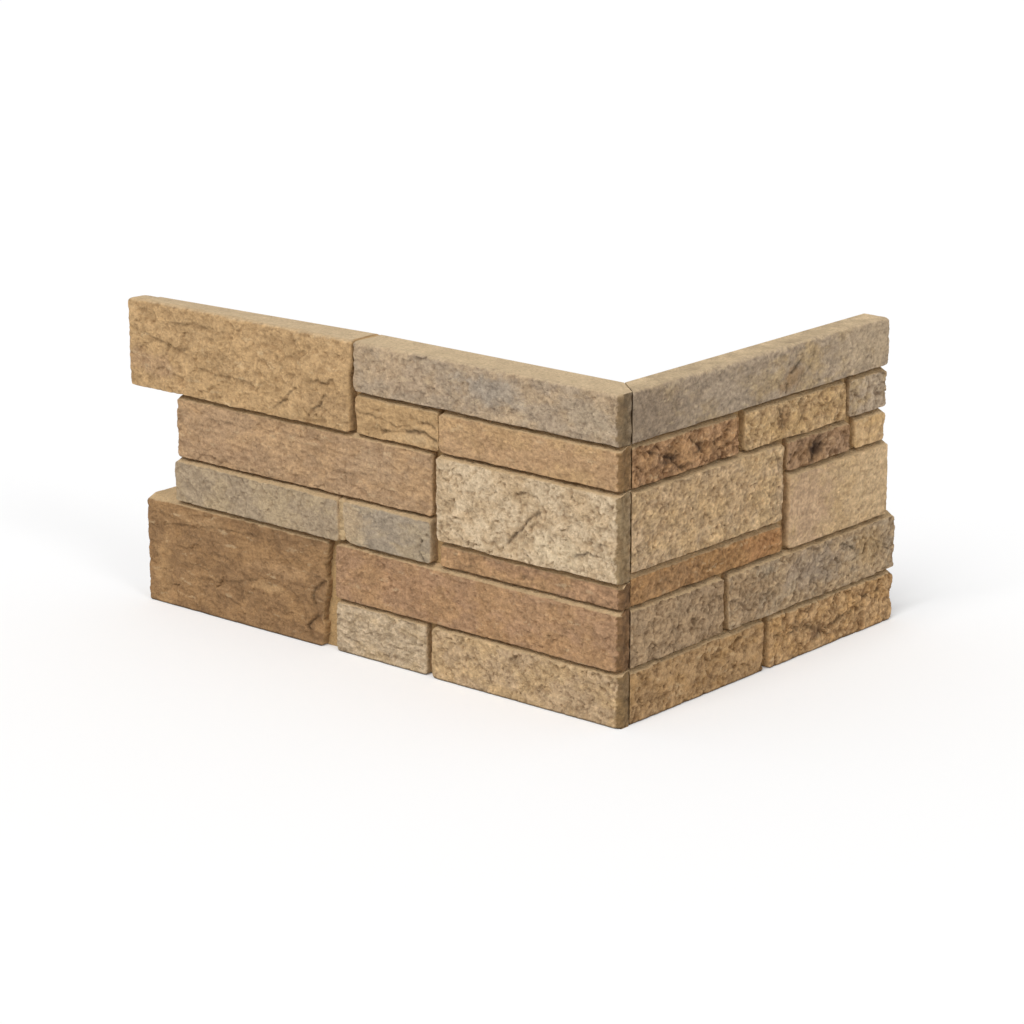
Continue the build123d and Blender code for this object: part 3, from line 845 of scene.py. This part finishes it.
def casting_object(name, blocks, long_wing, material):
    """One object from closed blocks of points, quads, back rings and colours."""
    corners, faces, backs, colours = [], [], [], []
    base = 0
    for points, quads, ring, tint in blocks:
        corners.append(to_frame(points, long_wing))
        colours.append(tint)
        faces.append(quads + base)
        backs.append(ring + base)
        base += len(points)
    corners = np.concatenate(corners)
    colours = np.concatenate(colours)
    faces = np.concatenate(faces)
    if long_wing:
        faces = faces[:, ::-1]
    else:
        backs = [ring[::-1] for ring in backs]
    sizes = np.concatenate([np.full(len(faces), 4), [len(ring) for ring in backs]])
    corner_list = np.concatenate([faces.ravel()] + backs).astype(np.int32)
    mesh = bpy.data.meshes.new(name)
    mesh.vertices.add(len(corners))
    mesh.vertices.foreach_set("co", corners.ravel())
    mesh.loops.add(len(corner_list))
    mesh.loops.foreach_set("vertex_index", corner_list)
    mesh.polygons.add(len(sizes))
    starts = np.concatenate([[0], np.cumsum(sizes)[:-1]]).astype(np.int32)
    mesh.polygons.foreach_set("loop_start", starts)
    mesh.polygons.foreach_set("loop_total", sizes.astype(np.int32))
    mesh.update(calc_edges=True)
    mesh.validate()
    shade = np.ones(len(sizes), dtype=bool)
    shade[len(faces):] = False
    mesh.polygons.foreach_set("use_smooth", shade)
    mesh.set_sharp_from_angle(angle=math.radians(75))
    tint = mesh.attributes.new("pigment", "FLOAT_COLOR", "POINT")
    rgba = np.concatenate([colours, np.ones((len(colours), 1))], 1)
    tint.data.foreach_set("color", rgba.ravel().astype(np.float32))
    mesh.materials.append(material)
    piece = bpy.data.objects.new(name, mesh)
    bpy.context.scene.collection.objects.link(piece)
    return piece


# Materials

def add_node(tree, kind, settings=None, inputs=None, links=None):
    """Adds a node, sets its settings and inputs, and links sockets (name: other socket)."""
    node = tree.nodes.new(kind)
    for key, value in (settings or {}).items():
        setattr(node, key, value)
    for key, value in (inputs or {}).items():
        node.inputs[key].default_value = value
    for key, socket in (links or {}).items():
        tree.links.new(socket, node.inputs[key])
    return node


def pigmented_cast_concrete():
    """Cast lightweight concrete with iron-oxide face pigments, from a rubber mould: matte,
    finely granular, with sand grains under a millimetre and tiny air holes."""
    material = bpy.data.materials.new("pigmented_cast_concrete")
    material.use_nodes = True
    tree = material.node_tree
    shader = tree.nodes["Principled BSDF"]
    place = add_node(tree, "ShaderNodeTexCoord")
    pigment = add_node(tree, "ShaderNodeAttribute", {"attribute_name": "pigment"})
    # sand grains about a millimetre across
    sand = add_node(tree, "ShaderNodeTexNoise", {"noise_dimensions": "3D"},
                    {"Scale": 720.0, "Detail": 4.0, "Roughness": 0.7},
                    {"Vector": place.outputs["Object"]})
    grit = add_node(tree, "ShaderNodeMapRange", {},
                    {"From Min": 0.3, "From Max": 0.7, "To Min": 0.80, "To Max": 1.22},
                    {"Value": sand.outputs["Fac"]})
    # blotches of cement bloom 7 mm across
    bloom = add_node(tree, "ShaderNodeTexNoise", {"noise_dimensions": "3D"},
                     {"Scale": 140.0, "Detail": 5.0, "Roughness": 0.6},
                     {"Vector": place.outputs["Object"]})
    cloud = add_node(tree, "ShaderNodeMapRange", {},
                     {"From Min": 0.3, "From Max": 0.7, "To Min": 0.93, "To Max": 1.07},
                     {"Value": bloom.outputs["Fac"]})
    # dark flecks of iron oxide 2 mm across, few and scattered
    oxide = add_node(tree, "ShaderNodeTexNoise", {"noise_dimensions": "3D"},
                     {"Scale": 380.0, "Detail": 4.0, "Roughness": 0.7},
                     {"Vector": place.outputs["Object"]})
    fleck = add_node(tree, "ShaderNodeMapRange", {},
                     {"From Min": 0.58, "From Max": 0.72, "To Min": 1.0, "To Max": 0.72},
                     {"Value": oxide.outputs["Fac"]})
    grime = add_node(tree, "ShaderNodeMath", {"operation": "MULTIPLY"}, {},
                     {0: grit.outputs["Result"], 1: fleck.outputs["Result"]})
    speck = add_node(tree, "ShaderNodeMath", {"operation": "MULTIPLY"}, {},
                     {0: grime.outputs["Value"], 1: cloud.outputs["Result"]})
    tone = add_node(tree, "ShaderNodeVectorMath", {"operation": "SCALE"}, {},
                    {"Vector": pigment.outputs["Color"], "Scale": speck.outputs["Value"]})
    # air holes about 1.6 mm apart
    holes = add_node(tree, "ShaderNodeTexVoronoi", {"feature": "F1"},
                     {"Scale": 620.0, "Randomness": 1.0}, {"Vector": place.outputs["Object"]})
    pocket = add_node(tree, "ShaderNodeMapRange", {},
                      {"From Min": 0.05, "From Max": 0.35, "To Min": 0.0, "To Max": 1.0},
                      {"Value": holes.outputs["Distance"]})
    grain = add_node(tree, "ShaderNodeMath", {"operation": "MULTIPLY"}, {},
                     {0: sand.outputs["Fac"], 1: pocket.outputs["Result"]})
    bump = add_node(tree, "ShaderNodeBump", {}, {"Strength": 0.8, "Distance": 0.0008},
                    {"Height": grain.outputs["Value"]})
    tree.links.new(tone.outputs["Vector"], shader.inputs["Base Color"])
    tree.links.new(bump.outputs["Normal"], shader.inputs["Normal"])
    shader.inputs["Roughness"].default_value = 0.92
    shader.inputs["Specular IOR Level"].default_value = 0.25
    return material


def cured_adhesive():
    """Cured epoxy mortar in the mitre: dark, matte and slightly uneven, with lumps about
    2 mm across."""
    material = bpy.data.materials.new("cured_adhesive")
    material.use_nodes = True
    tree = material.node_tree
    shader = tree.nodes["Principled BSDF"]
    place = add_node(tree, "ShaderNodeTexCoord")
    lumps = add_node(tree, "ShaderNodeTexNoise", {"noise_dimensions": "3D"},
                     {"Scale": 400.0, "Detail": 3.0}, {"Vector": place.outputs["Object"]})
    ramp = add_node(tree, "ShaderNodeValToRGB", {}, {}, {"Fac": lumps.outputs["Fac"]})
    ramp.color_ramp.elements[0].color = (*linear("#4a3a2a"), 1.0)
    ramp.color_ramp.elements[1].color = (*linear("#6b553d"), 1.0)
    tree.links.new(ramp.outputs["Color"], shader.inputs["Base Color"])
    shader.inputs["Roughness"].default_value = 0.7
    return material


def studio_floor(colour, lift):
    """Matte white paper sweep under the piece. The camera sees it mixed with plain white,
    as in a photograph whose background was lifted, so that the shadow stays but is faint."""
    material = bpy.data.materials.new("paper_floor")
    material.use_nodes = True
    tree = material.node_tree
    shader = tree.nodes["Principled BSDF"]
    shader.inputs["Base Color"].default_value = (*colour, 1.0)
    shader.inputs["Roughness"].default_value = 1.0
    shader.inputs["Specular IOR Level"].default_value = 0.0
    white = add_node(tree, "ShaderNodeEmission", {},
                     {"Color": (1.0, 1.0, 1.0, 1.0), "Strength": 1.0})
    path = add_node(tree, "ShaderNodeLightPath")
    seen = add_node(tree, "ShaderNodeMath", {"operation": "MULTIPLY"}, {1: lift},
                    {0: path.outputs["Is Camera Ray"]})
    both = add_node(tree, "ShaderNodeMixShader", {}, {},
                    {0: seen.outputs["Value"], 1: shader.outputs["BSDF"],
                     2: white.outputs["Emission"]})
    tree.links.new(both.outputs["Shader"], tree.nodes["Material Output"].inputs["Surface"])
    return material


# Settings and operators

class CastingSettings(bpy.types.PropertyGroup):
    """What a user may change on the castings."""
    relief_step: bpy.props.FloatProperty(
        name="Relief spacing", description="Distance between mesh lines on the split faces",
        default=0.0005, min=0.0003, max=0.005, unit="LENGTH")
    plate_step: bpy.props.FloatProperty(
        name="Plate spacing", description="Distance between mesh lines on the plate",
        default=0.0015, min=0.0005, max=0.01, unit="LENGTH")


class StageSettings(bpy.types.PropertyGroup):
    """What a user may change on the stage."""
    floor_colour: bpy.props.FloatVectorProperty(
        name="Floor colour", description="Colour of the paper under the piece",
        subtype="COLOR", size=3, min=0.0, max=1.0, default=(0.92, 0.92, 0.92))
    floor_lift: bpy.props.FloatProperty(
        name="Floor lift", description="Share of plain white that the camera sees on the floor",
        default=0.1, min=0.0, max=1.0)
    sky_strength: bpy.props.FloatProperty(
        name="Room light", description="Strength of the even light all round", default=0.55)
    key_strength: bpy.props.FloatProperty(
        name="Key light", description="Strength of the soft light in front", default=1.9)
    fill_strength: bpy.props.FloatProperty(
        name="Fill light", description="Strength of the soft light at the right", default=0.42)
    focal_length: bpy.props.FloatProperty(
        name="Focal length", description="Lens for a 36 mm wide sensor, in millimetres",
        default=116.0)


def set_in(name, blocks, long_wing, node):
    """Makes one object of a wing's closed blocks and sets it in for the wing's CAD node."""
    concrete = bpy.data.materials["pigmented_cast_concrete"]
    piece = casting_object(name, blocks, long_wing, concrete)
    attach(piece, "root")
    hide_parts(node)


def dress_wing(settings, node, long_wing, bands, plate_seed, groups):
    """Dresses one wing: its plate, then each group of its moulded stones, whose noise
    starts from the group's seed and moves on from stone to stone."""
    plate = plate_arrays(bands, long_wing, plate_seed, settings.plate_step * 1000.0)
    set_in(node + "_plate", [plate], long_wing, node)
    step = settings.relief_step * 1000.0
    for place, stones, seed in groups:
        blocks = [stone_arrays(entry, long_wing, seed + 101 * k, step)
                  for k, entry in enumerate(stones.values())]
        set_in(node + "_" + place + "_stones", blocks, long_wing, node)


class OBJECT_OT_long_wing(bpy.types.Operator):
    """Builds the long wing: its plate and three bands of moulded stones"""
    bl_idname = "object.long_wing_casting"
    bl_label = "Long wing"

    def execute(self, context):
        dress_wing(context.scene.casting_settings, "long_wing", True, LONG_BANDS, 5,
                   (("upper", LONG_UPPER, 1100), ("middle", LONG_MIDDLE_STONES, 2100),
                    ("lower", LONG_LOWER, 3100)))
        return {"FINISHED"}


class OBJECT_OT_short_wing(bpy.types.Operator):
    """Builds the short wing: its plate and two bands of moulded stones"""
    bl_idname = "object.short_wing_casting"
    bl_label = "Short wing"

    def execute(self, context):
        dress_wing(context.scene.casting_settings, "short_wing", False, SHORT_BANDS, 9,
                   (("upper", SHORT_UPPER, 4100), ("lower", SHORT_LOWER, 5100)))
        return {"FINISHED"}


class OBJECT_OT_corner_adhesive(bpy.types.Operator):
    """Gives the glue in the mitre its finish"""
    bl_idname = "object.corner_adhesive_finish"
    bl_label = "Corner adhesive"

    def execute(self, context):
        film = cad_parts["corner_adhesive"]
        film.data.materials.clear()
        film.data.materials.append(cured_adhesive())
        return {"FINISHED"}


def lay_floor(settings):
    """A square sheet of paper under the piece."""
    mesh = bpy.data.meshes.new("floor")
    corners = [(x * FLOOR_HALF, y * FLOOR_HALF, 0) for x, y in ((-1, -1), (1, -1), (1, 1), (-1, 1))]
    mesh.from_pydata(corners, [], [(0, 1, 2, 3)])
    mesh.materials.append(studio_floor(settings.floor_colour, settings.floor_lift))
    floor = bpy.data.objects.new("floor", mesh)
    bpy.context.scene.collection.objects.link(floor)


def hang_light(name, strength, azimuth, elevation, spread):
    """A soft light from far away, turned towards the piece."""
    lamp = bpy.data.lights.new(name, "SUN")
    lamp.energy = strength
    lamp.angle = math.radians(spread)
    holder = bpy.data.objects.new(name, lamp)
    turn = math.radians(azimuth)
    lift = math.radians(elevation)
    toward = Vector((math.sin(turn) * math.cos(lift), -math.cos(turn) * math.cos(lift),
                     math.sin(lift)))
    holder.rotation_euler = toward.to_track_quat("Z", "Y").to_euler()
    bpy.context.scene.collection.objects.link(holder)


def light_room(strength):
    """Even white light all round, in front of a plain white ground that the camera sees."""
    world = bpy.data.worlds.new("room")
    world.use_nodes = True
    tree = world.node_tree
    tree.nodes.clear()
    path = add_node(tree, "ShaderNodeLightPath")
    room, ground = (add_node(tree, "ShaderNodeBackground", {},
                             {"Color": (1.0, 1.0, 1.0, 1.0), "Strength": value})
                    for value in (strength, 1.0))
    both = add_node(tree, "ShaderNodeMixShader", {}, {},
                    {0: path.outputs["Is Camera Ray"], 1: room.outputs["Background"],
                     2: ground.outputs["Background"]})
    add_node(tree, "ShaderNodeOutputWorld", {}, {}, {"Surface": both.outputs["Shader"]})
    bpy.context.scene.world = world


def set_camera(focal_length):
    """The camera that matches the photo."""
    lens = bpy.data.cameras.new("camera")
    lens.lens = focal_length
    lens.sensor_width = SENSOR_WIDTH
    lens.clip_start = 0.05
    lens.clip_end = 50.0
    camera = bpy.data.objects.new("camera", lens)
    pitch = math.radians(CAMERA_PITCH)
    yaw = math.radians(CAMERA_YAW)
    ahead = Vector((-math.sin(yaw) * math.cos(pitch), math.cos(yaw) * math.cos(pitch),
                    -math.sin(pitch)))
    right = Vector((math.cos(yaw), math.sin(yaw), 0.0))
    up = right.cross(ahead)
    turn = Matrix((right, up, -ahead)).transposed().to_4x4()
    camera.matrix_world = Matrix.Translation(Vector(CAMERA_PLACE)) @ turn
    bpy.context.scene.collection.objects.link(camera)
    bpy.context.scene.camera = camera


class SCENE_OT_studio(bpy.types.Operator):
    """Lays the pale floor, hangs the soft lights and sets the camera"""
    bl_idname = "scene.veneer_studio"
    bl_label = "Studio"

    def execute(self, context):
        settings = context.scene.stage_settings
        lay_floor(settings)
        for strength, light in zip((settings.key_strength, settings.fill_strength), LIGHTS):
            name, azimuth, elevation, spread = light
            hang_light(name, strength, azimuth, elevation, spread)
        light_room(settings.sky_strength)
        set_camera(settings.focal_length)
        context.scene.view_settings.view_transform = "Standard"
        return {"FINISHED"}


class VIEW3D_PT_corner_veneer(bpy.types.Panel):
    """Sidebar panel with the castings, the adhesive and the stage"""
    bl_label = "Corner veneer"
    bl_idname = "VIEW3D_PT_corner_veneer"
    bl_space_type = "VIEW_3D"
    bl_region_type = "UI"
    bl_category = "Corner veneer"

    def draw(self, context):
        layout = self.layout
        for name in ("relief_step", "plate_step"):
            layout.prop(context.scene.casting_settings, name)
        for name in ("long_wing_casting", "short_wing_casting", "corner_adhesive_finish"):
            layout.operator("object." + name)
        for name in ("floor_colour", "floor_lift", "sky_strength", "key_strength",
                     "fill_strength", "focal_length"):
            layout.prop(context.scene.stage_settings, name)
        layout.operator("scene.veneer_studio")


CLASSES = (CastingSettings, StageSettings, OBJECT_OT_long_wing, OBJECT_OT_short_wing,
           OBJECT_OT_corner_adhesive, SCENE_OT_studio, VIEW3D_PT_corner_veneer)


def register():
    for cls in CLASSES:
        bpy.utils.register_class(cls)
    bpy.types.Scene.casting_settings = bpy.props.PointerProperty(type=CastingSettings)
    bpy.types.Scene.stage_settings = bpy.props.PointerProperty(type=StageSettings)


def unregister():
    del bpy.types.Scene.stage_settings
    del bpy.types.Scene.casting_settings
    for cls in reversed(CLASSES):
        bpy.utils.unregister_class(cls)


def main():
    register()
    pigmented_cast_concrete()
    bpy.ops.object.long_wing_casting()
    bpy.ops.object.short_wing_casting()
    bpy.ops.object.corner_adhesive_finish()
    bpy.ops.scene.veneer_studio()
    bpy.context.view_layer.update()


if __name__ == "__main__":
    main()
